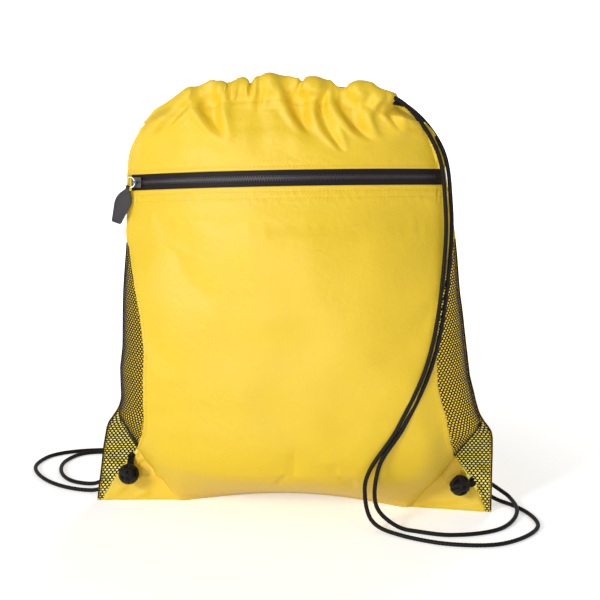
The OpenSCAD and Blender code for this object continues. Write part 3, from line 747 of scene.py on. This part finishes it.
def panelGrid(face, heights, topEdge=None, folds=None, seed=1):
    z = np.asarray(heights, float)[:, None]
    u, half = panelAcross(z, face)
    level = z + 0 * u
    z = level
    for _ in range(4 if topEdge is not None else 0):
        z = level + topEdge(u, level)
        u, half = panelAcross(z, face)
    points = skin(face, u, z)
    seam = np.stack([points[0, :, 0], keelShift(points[0, :, 0], 0 * points[0, :, 0]) + face * 0.3,
                     0.3 + 0 * points[0, :, 0]], 1)
    rows = [seam + (points[0] - seam) * t for t in (0, 0.3, 0.65)]
    points = np.concatenate([np.stack(rows), points])
    u, z, half = (np.concatenate([g[:1]] * 3 + [g]) for g in (u, z, half))
    normal = outwards(points)
    body = ramp(z, 8, 60) * (1 - ramp(np.abs(u) / half, 0.8, 1.0))
    body = body * ramp(np.abs(points[..., 1]), 3, 16)
    if face < 0:
        body = body * (1 - 0.9 * ramp(z, *panel["zipCalm"]))
    push = 1.7 * ripples(u, z, seed, 170) * body + 0.6 * ripples(u, z, seed + 1, 70) * body
    edge = half - np.abs(u)
    push = push + panel["edgeRoll"] * (1 - ramp(edge, 1.5, 4.0)) * ramp(z, 12, 20)
    corner = (1 - ramp(z, 28, 62)) * ramp(np.abs(u), 112, 136) * ramp(edge, 0, 8) * ramp(z, 2, 8)
    push = push + np.maximum(-0.2, 1.5 * ripples(u, z * 1.8, seed + 6, 34)) * corner
    push = push + 0.35 * ripples(u * 0.4, z, seed + 2, 14) * np.exp(-edge / 8) * ramp(z, 20, 40)
    if folds is not None:
        level = points[..., 2] + crownSink(u) * ramp(z, 300, 370)
        push = push + gathers(u, level, folds) * ramp(edge, 0, 14)
    return points + normal * push[..., None] * ramp(z, -1, 3)[..., None]


def puckered(points, fromTop, amount, rows):     # small puckers along the stitching beside the zipper
    run = runAlong(points)
    away = run[-1] - run if fromTop else run
    u = points[..., 0]
    even = np.sin(2 * math.pi * u / panel["puckerPitch"] + 1.3 * np.sin(u / 9.0))
    bumps = even * 0.6 + 0.5 * ripples(u, away, 41, 9)
    band = ramp(away, 1, 4) * (1 - ramp(away, rows[-1] + 1, rows[-1] + 9))
    groove = sum(np.exp(-((away - row) / 1.3) ** 2) for row in rows)
    push = np.maximum(-panel["tapeGap"], amount * (bumps * band - 0.9 * groove))
    return points + outwards(points) * push[..., None]


zipLow = zipper["height"] - zipper["opening"] / 2 * math.cos(tilt)
zipHigh = zipper["height"] + zipper["opening"] / 2 * math.cos(tilt)
lowRows = np.concatenate([np.linspace(0, 12, 9), np.linspace(14, 60, 24), np.linspace(63, 280, 70)])


def makeFrontPanel():
    heights = np.concatenate([lowRows, np.linspace(282, zipLow, 34)])

    def topEdge(u, z):
        return ramp(z, 262, 308) * zipDip(u)
    points = panelGrid(-1, heights, topEdge, seed=3)
    height = points[..., 2]
    u = np.abs(points[..., 0] - along(height, bag["leanLine"]))
    held = 1 - ramp(bodyHalf(height) - u, 6, 26) * ramp(height, 14, 40) * (1 - ramp(height, 270, 296))
    points = puckered(settled(points, held), True, panel["puckerHeight"], panel["stitchRows"])
    for away in panel["stitchRows"]:
        lineAt(points, away, "top", 3, -3)
    for side in ("left", "right"):
        lineAt(points, stitch["seamIn"], side, 18)
    points = turnedIn(points, "top")
    for side in ("left", "right"):
        points = turnedIn(points, side, width=2.4)
    piece = clothGrid("frontPanel", points)
    thickenCloth(piece)
    return finishPiece(piece, yellowCloth, "bag", "yellow_polyester", "front_panel")


# Height of each tunnel's top over its plain arch, at points across the bag, and where each end lies back
tunnels = {"height": 22.5, "thick": 10, "middle": 12, "endMiddle": 2.4, "around": 60, "opening": (-40, 245),
           "joined": 0.2, "underCord": 9, "leftSunk": 3, "backLower": 6,
           "leftEnd": (96, 122), "rightEnd": (89, 101),
           "front": [(-88, -1), (-83, 1), (-74, 4), (-62, -2), (-57, -5.8), (-54.5, 1), (-49, -1), (-45, 2),
                     (-39, -6), (-32, 1.5), (-15, 2.5), (-1, 1), (7.5, -3.5), (16, -1), (34, -0.5), (41, -6),
                     (49, -5), (56, -1), (65, 1.5), (75, -1), (88, -3)],
           "back": [(-95, -4), (-80, -3), (-66, -3), (-57, -5.2), (-48, -3), (-39, -5.2), (-22, -5),
                    (-8, -5), (7.5, -7), (20, -5), (34, -3.5), (44, -5.2), (60, -3), (72, -4.5),
                    (80, -3), (92, -5)]}


def shoulderHigh(u):        # the height of the bag's outline at a distance from the middle
    heights = np.linspace(425, 300, 126)
    under = tunnels["underCord"] * (1 - 0.6 * ramp(u, 96, 126)) * ramp(u, 88, 99)
    sunk = tunnels["leftSunk"] * ramp(-u, 82, 98) * (1 - ramp(-u, 104, 122))
    return np.interp(np.abs(u) + under + sunk, outerHalf(heights), heights)


def withTunnel(face, points, folds):        # carries a panel's rows on round its drawcord tunnel
    crown = points[-1]
    u = crown[:, 0] - along(crown[:, 2], bag["leanLine"])
    t = np.linspace(0, 1, tunnels["around"] + 1)[1:, None]
    first, last = (math.radians(a) for a in tunnels["opening"])
    angle = first + t * (last - first)
    line = tunnels["front" if face < 0 else "back"]
    top = sum(along(u + shift, line) for shift in (-1.5, 0, 1.5)) / 3
    base = bag["crown"] - (bag["backDrop"] if face > 0 else 0) - crownSink(u)
    shoulder = shoulderHigh(u) - base - (tunnels["backLower"] if face > 0 else 0)
    tall = np.clip(np.minimum(tunnels["height"] + top, shoulder), 0.4, None)
    full = np.clip(tall / tunnels["height"], 0, 1) ** 0.6
    ends = np.where(u < 0, ramp(-u, *tunnels["leftEnd"]), ramp(u, *tunnels["rightEnd"]))
    middle = tunnels["middle"] + (tunnels["endMiddle"] - tunnels["middle"]) * ends
    deep = tunnels["thick"] / 2 * full * (1 - 0.6 * ends)
    z = base + 0.8 * full + (np.sin(angle) + 1) / 2 * tall
    y = face * (middle + np.cos(angle) * deep)
    around = np.stack([u + along(z, bag["leanLine"]), y, z], -1)
    outside = (np.clip(np.cos(angle), 0, 1) ** 0.5 + 0.35 * np.clip(-np.cos(angle), 0, 1)) * full
    outside = outside * (1 - ends) * (1 - ramp(np.abs(u), 84, 106))
    push = gathers(u, np.maximum(z + crownSink(u), bag["crown"]), folds) * outside
    push = push + 0.35 * ripples(u, z, 33, 14) * ramp(t, 0.1, 0.3) * (1 - ends)
    around = around + outwards(around) * push[..., None]
    # The tunnel leaves the crown in the panel's own direction
    onward = unit(crown - points[-3]) * (tall + tunnels["thick"] * full)[:, None]
    joined = ramp(t, 0, tunnels["joined"])[..., None]
    around = around * joined + (crown + onward * 2 * t[..., None]) * (1 - joined)
    return np.concatenate([points, around])


def sideHems(points, tunnelRows):       # narrow hems where the panel goes into its tunnel
    size = np.ones((len(points), 1))
    size[-tunnelRows:] = 0.1
    for side in ("left", "right"):
        points = turnedIn(points, side, 0.9 * size, 2.4 * size)
    return points


def makeFrontTop():
    steps = np.linspace(0, 1, 70)[:, None]
    level = zipHigh + steps * (bag["crown"] - zipHigh)
    z = level
    for _ in range(4):      # the crown sinks away from the middle, which widens the cloth again
        u, half = panelAcross(z, -1)
        z = level + (1 - steps) * zipDip(u) - steps * crownSink(u)
    points = skin(-1, u, z)
    edge = half - np.abs(u)
    push = gathers(u, z + steps * crownSink(u), frontFolds) * ramp(edge, 0, 14)
    calm = ramp(z - zipHigh - zipDip(u), 4, 26)
    push = push + (0.8 * ripples(u, z, 12, 70) + 0.4 * ripples(u, z, 13, 32)) * ramp(edge, 0, 14) * calm
    points = puckered(points + outwards(points) * push[..., None], False, 0.3, (3.0,))
    lineAt(points, 3.0, "bottom", 3, -3)
    for side in ("left", "right"):
        lineAt(points, stitch["seamIn"], side, 3, -6)
    lineAt(points, 0.5, "top", 12, -12)
    points = withTunnel(-1, points, frontFolds)
    points = sideHems(turnedIn(points, "bottom"), tunnels["around"])
    piece = clothGrid("frontYoke", points)
    thickenCloth(piece)
    return finishPiece(piece, yellowCloth, "bag", "yellow_polyester", "front_yoke", "tunnel_front")


def makeBackPanel():
    top = bag["crown"] - bag["backDrop"]
    heights = np.concatenate([lowRows, np.linspace(283, top, 60)])

    def topEdge(u, z):
        return -ramp(z, 300, top) * crownSink(u)
    points = withTunnel(1, panelGrid(1, heights, topEdge, folds=backFolds, seed=21), backFolds)
    piece = clothGrid("backPanel", sideHems(points, tunnels["around"]))
    thickenCloth(piece)
    for x, z in (bag["slitLeft"], bag["slitRight"]):
        bpy.ops.mesh.primitive_cylinder_add(vertices=24, radius=bag["cordHole"] / 2 * mm, depth=0.04,
                                            location=(x * mm, 0, z * mm), rotation=(math.pi / 2, 0, 0))
        punch = bpy.context.object
        applied(piece, "BOOLEAN", object=punch, operation="DIFFERENCE", solver="EXACT")
        bpy.data.objects.remove(punch)
    return finishPiece(piece, yellowCloth, "bag", "yellow_polyester", "back_panel", "tunnel_back")


makeFrontPanel()
makeFrontTop()
makeBackPanel()
makeStitches()
print("panels and tunnels made")

# The net: size of its cells and of the hole in each, thickness of thread and edging, in millimetres
net = {"wide": 3.8, "tall": 4.5, "hole": 0.64, "thread": 0.5, "inset": 0.3, "selvage": 0.7}


def sideLine(side, z, count=30):      # points across a side at one height, from the seam to the edge
    start = float(seamHalf(z) - 0.6 + slitAt(side, z))
    edge = float(outerHalf(z)) - 0.3
    u = start + (edge - start) * np.sin(np.linspace(0, math.pi / 2, count))
    return skin(-1, side * u, np.full(count, float(z)), net["inset"])


def sideSheet(side):        # the side as rows of points, with the distance of each from the bag's edge
    heights = np.concatenate([np.linspace(0.4, 20, 11), np.linspace(22, bag["sideTop"] + 3, 80)])
    rows = np.stack([sideLine(side, z) for z in heights])
    run = runAlong(rows.transpose(1, 0, 2)).T
    return heights, rows, run - run[:, -1:]


def onSide(sheet, across, up):      # places flat net points on the side
    heights, rows, run = sheet
    i = np.clip(np.searchsorted(heights, up) - 1, 0, len(heights) - 2)
    t = ((up - heights[i]) / (heights[i + 1] - heights[i]))[:, None]
    placed = np.empty((len(up), 3))
    for j in np.unique(i):
        pick = i == j
        for axis in range(3):
            low = np.interp(across[pick], run[j], rows[j][:, axis])
            high = np.interp(across[pick], run[j + 1], rows[j + 1][:, axis])
            placed[pick, axis] = low * (1 - t[pick, 0]) + high * t[pick, 0]
    return placed


def makeSide(name, side):
    sheet = sideSheet(side)
    heights, rows, run = sheet
    wide, tall = net["wide"], net["tall"]
    cells = []
    for j in range(int(bag["sideTop"] / tall * 2)):
        z = (j + 0.5) * tall / 2
        low, high = (np.interp(z, heights, run[:, k]) for k in (0, -1))
        shift = wide / 2 * (j % 2)
        for i in range(int(math.floor(low / wide)) - 1, int(math.ceil(high / wide)) + 1):
            a = i * wide + shift
            if low + 0.2 < a < high - 0.6:
                cells.append((a, z))
    cells = np.array(cells)
    shape = [(0.5, 0.167), (0, 0.333), (-0.5, 0.167), (-0.5, -0.167), (0, -0.333), (0.5, -0.167)]
    outline = np.array(shape) * (wide, tall)
    hole = outline * net["hole"]
    flat = np.concatenate([cells[:, None] + outline[None], cells[:, None] + hole[None]], 1).reshape(-1, 2)
    flat[:, 1] = np.clip(flat[:, 1], heights[0], heights[-1])
    low = np.interp(flat[:, 1], heights, run[:, 0])
    high = np.interp(flat[:, 1], heights, run[:, -1])
    flat[:, 0] = np.clip(flat[:, 0], low, high)
    placed = onSide(sheet, flat[:, 0], flat[:, 1]) * mm
    faces = []
    for n in range(len(cells)):
        base = n * 12
        for k in range(6):
            nxt = (k + 1) % 6
            quad = [base + k, base + nxt, base + 6 + nxt, base + 6 + k]
            faces.append(quad if side > 0 else quad[::-1])
    piece = meshPiece(name, placed, faces)
    choose(piece)
    bpy.ops.object.mode_set(mode="EDIT")
    bpy.ops.mesh.select_all(action="SELECT")
    bpy.ops.mesh.remove_doubles(threshold=0.0001)
    bpy.ops.mesh.normals_make_consistent(inside=False)
    bpy.ops.object.mode_set(mode="OBJECT")
    thicken(piece, net["thread"])
    heights = np.linspace(2, bag["sideTop"], 120)
    fold = np.linspace(44, 84, 40)
    for z, half, size in ((heights, outerHalf(heights) - 0.6, net["selvage"]),
                          (fold, bodyHalf(fold) + 0.5, net["selvage"] * 0.7)):
        line = np.stack([skin(-1, side * w, np.array([h]), 0)[0] for w, h in zip(half, z)])
        rope = sweptTube(name + "Selvage", line * mm, size * mm, 8)
        choose(piece, rope)
        bpy.ops.object.join()
    print(name, len(cells), "net cells,", len(piece.data.polygons), "faces")
    cadNode = "mesh_side_left" if side < 0 else "mesh_side_right"
    return finishPiece(piece, netThread, "bag", "black_mesh", cadNode)


makeSide("meshSideLeft", -1)
makeSide("meshSideRight", 1)
print("mesh sides made")

def makeTape(name, side):
    angle = np.linspace(-zipper["end"], zipper["end"], 160)[None, :]
    h = np.linspace(zipper["tapeEdge"], zipper["tapeWidth"], 12)[:, None] * side
    if side < 0:
        h = h[::-1]
    points = zipPoint(angle + 0 * h, zipper["radius"] - zipper["tapeDepth"] + 0 * h, h + 0 * angle)
    piece = clothGrid(name, points)
    thicken(piece, zipper["tapeThick"])
    half = "upper" if side > 0 else "lower"
    return finishPiece(piece, tapeCloth, "bag", "zipper_tape", "zipper_tape_" + half)


makeTape("zipperTapeUpper", 1)
makeTape("zipperTapeLower", -1)

for nodeName, material in (("zipper_coil_lower", coilNylon), ("zipper_coil_upper", coilNylon),
                           ("slider_body", sliderMetal), ("slider_crown", sliderMetal),
                           ("pull_ring", ringMetal), ("pull_tab", pullRubber)):
    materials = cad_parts[nodeName].data.materials
    materials.clear()
    materials.append(material)
print("zipper made")


lining = {"from": 60, "to": 350, "steps": 60, "inset": 3.4, "behindTape": 4, "margin": 8, "topMargin": 12,
          "thick": 0.4}


def makeLining():
    heights = np.linspace(lining["from"], lining["to"], lining["steps"])[:, None]
    atTape = ramp(heights, 285, 315) * (1 - 0.7 * ramp(heights, 338, 350))
    inset = lining["inset"] + lining["behindTape"] * atTape
    half = panelHalf(-1, -1, heights) - lining["margin"] - lining["topMargin"] * ramp(heights, 250, 290)
    u = np.linspace(-1, 1, lining["steps"])[None, :] * half
    z = heights + ramp(heights, 262, 308) * zipDip(u)
    points = skin(-1, u, z, inset + 0 * u)
    piece = clothGrid("pocketLining", points)
    thicken(piece, lining["thick"])
    return finishPiece(piece, liningCloth, "bag", "lining", "pocket_lining")


makeLining()
print("lining made")


# Floor: size in metres, and how its own brightness grows between two distances from the bag
floorLook = {"size": 30, "near": 0.25, "far": 0.9, "nearGlow": 0.48, "farGlow": 1.0}
# Brightness of the surroundings: as light, and added where they are seen or mirrored
studio = {"light": 0.3, "seen": 0.7, "mirrored": 0.2}
# Lamps: place and aim in metres, width of the disk and power in watts
lamps = {"keyLamp": ((-2.7, -3.3, 2.0), (0, 0, 0.2), 1.1, 100),
         "fillLamp": ((1.8, -1.6, 1.0), (0, 0, 0.2), 1.4, 3),
         "backLamp": ((0.8, 3.0, 1.8), (0, 0, 0.2), 1.5, 36),
         "lowLamp": ((-0.3, -1.9, 0.06), (0, 0, 0.04), 0.8, 14)}


def makeFloor():
    bpy.ops.mesh.primitive_plane_add(size=floorLook["size"])
    floor = bpy.context.object
    floor.name = "floor"
    material, tree, principled = newMaterial("floorPaint", Roughness=0.9, **{"Specular IOR Level": 0.1})
    principled.inputs["Base Color"].default_value = (0.9, 0.9, 0.9, 1)
    light = node(tree, "ShaderNodeLightPath").outputs
    seen = maths(tree, "MAXIMUM", light["Is Camera Ray"],
                 maths(tree, "MAXIMUM", light["Is Glossy Ray"], light["Is Transmission Ray"]))
    principled.inputs["Emission Color"].default_value = (1, 1, 1, 1)
    place = node(tree, "ShaderNodeTexCoord")
    away = node(tree, "ShaderNodeVectorMath", {0: place.outputs["Object"]}, operation="LENGTH")
    bare = node(tree, "ShaderNodeMapRange", {"Value": away.outputs["Value"]}, **{
        "From Min": floorLook["near"], "From Max": floorLook["far"],
        "To Min": floorLook["nearGlow"], "To Max": floorLook["farGlow"]})
    tree.links.new(maths(tree, "MULTIPLY", seen, bare.outputs["Result"]),
                   principled.inputs["Emission Strength"])
    floor.data.materials.append(material)


def makeSurroundings():
    world = bpy.data.worlds.new("studio")
    bpy.context.scene.world = world
    world.use_nodes = True
    tree = world.node_tree
    background = tree.nodes["Background"]
    background.inputs["Color"].default_value = (1, 1, 1, 1)
    light = node(tree, "ShaderNodeLightPath").outputs
    seen = maths(tree, "MAXIMUM", light["Is Camera Ray"], light["Is Transmission Ray"])
    shown = maths(tree, "ADD", maths(tree, "MULTIPLY", seen, studio["seen"]),
                  maths(tree, "MULTIPLY", light["Is Glossy Ray"], studio["mirrored"]))
    tree.links.new(maths(tree, "ADD", shown, studio["light"]), background.inputs["Strength"])


def makeLamp(name, place, aim, size, power):
    bpy.ops.object.light_add(type="AREA", location=place)
    lamp = bpy.context.object
    lamp.name = name
    lamp.data.shape = "DISK"
    lamp.data.size = size
    lamp.data.energy = power
    lamp.rotation_euler = (Vector(aim) - Vector(place)).to_track_quat("-Z", "Y").to_euler()


makeFloor()
makeSurroundings()
for lampName, given in lamps.items():
    makeLamp(lampName, *given)
bpy.data.objects["backLamp"].visible_glossy = False
print("floor and lamps made")
bpy.context.scene.view_settings.view_transform = "Standard"
